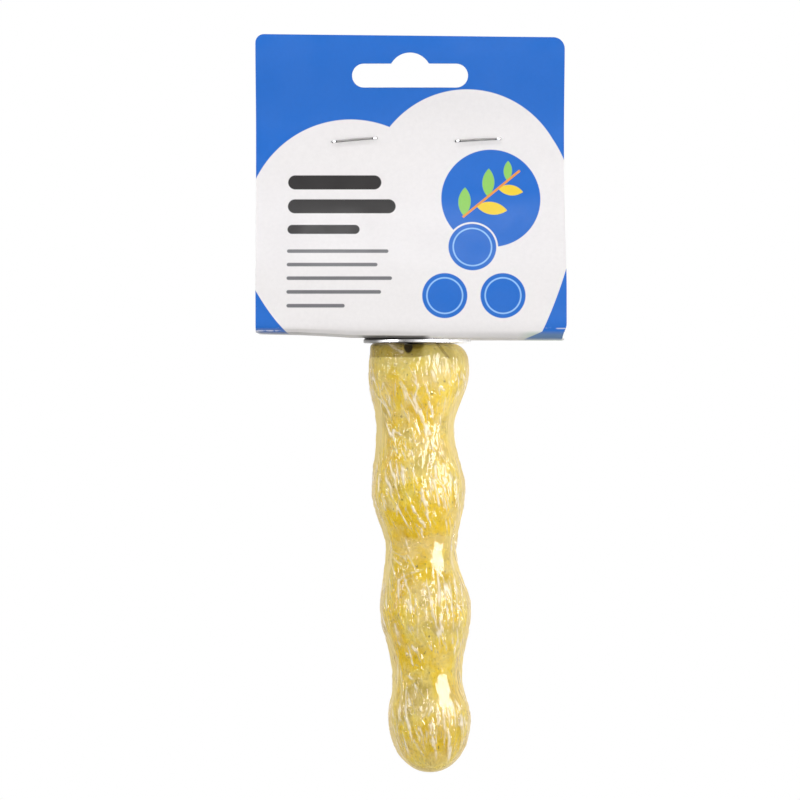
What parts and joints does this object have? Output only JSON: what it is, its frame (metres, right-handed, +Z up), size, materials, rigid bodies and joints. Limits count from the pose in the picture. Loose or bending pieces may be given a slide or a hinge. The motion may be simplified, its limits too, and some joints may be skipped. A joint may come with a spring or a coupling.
{
  "type": "bird perch",
  "caption": "Lumpy cement cage perch in clear shrink film, hung by a cast-in bolt with washers and a wing nut from a folded, stapled retail card with a hanging slot.",
  "frame": {"origin": "on the bolt axis at the clamping plane, the upper face of the inner washer", "axes": "+Z up the bolt away from the perch; -Y towards the printed front of the card; +X to the right as seen from the front"},
  "size_m": [0.086, 0.0338, 0.2055],
  "materials": {
    "cement": "mottled yellow cement with bark-like ridges",
    "bolt_steel": "zinc plated, rolled thread",
    "clear_film": "clear glossy shrink film",
    "zinc_plate": "bright zinc plate",
    "printed_card": "off-white card with blue printed fields, satin varnish",
    "staple_wire": "drawn wire"
  },
  "bodies": {
    "perch": {"perch_casting": "cement", "mounting_bolt": "bolt_steel", "shrink_film": "clear_film"},
    "inner_washer": {"inner_washer": "zinc_plate"},
    "outer_washer": {"outer_washer": "zinc_plate"},
    "wing_nut": {"wing_nut": "zinc_plate"},
    "card": {"header_card": "printed_card", "staple_left": "staple_wire", "staple_right": "staple_wire"}
  },
  "joints": [
    {"name": "washer_rise", "type": "slide", "parent": "perch", "child": "outer_washer", "axis": [0, 0, 1], "range_m": [0, 0.025]},
    {"name": "nut_turn", "type": "hinge", "parent": "outer_washer", "child": "wing_nut", "pos_m": [0, 0, 0.00165], "axis": [0, 0, 1], "range_deg": [0, 9001]},
    {"name": "inner_washer_rise", "type": "slide", "parent": "perch", "child": "inner_washer", "axis": [0, 0, 1], "range_m": [0, 0.0125]},
    {"name": "card_swivel", "type": "hinge", "parent": "outer_washer", "child": "card", "pos_m": [0, 0, 0], "axis": [0, 0, 1], "continuous": true}
  ],
  "couplings": [
    {"joint": "nut_turn", "follows": "washer_rise", "rad_per_m": 6283.2},
    {"joint": "inner_washer_rise", "follows": "washer_rise", "ratio": 0.5}
  ]
}
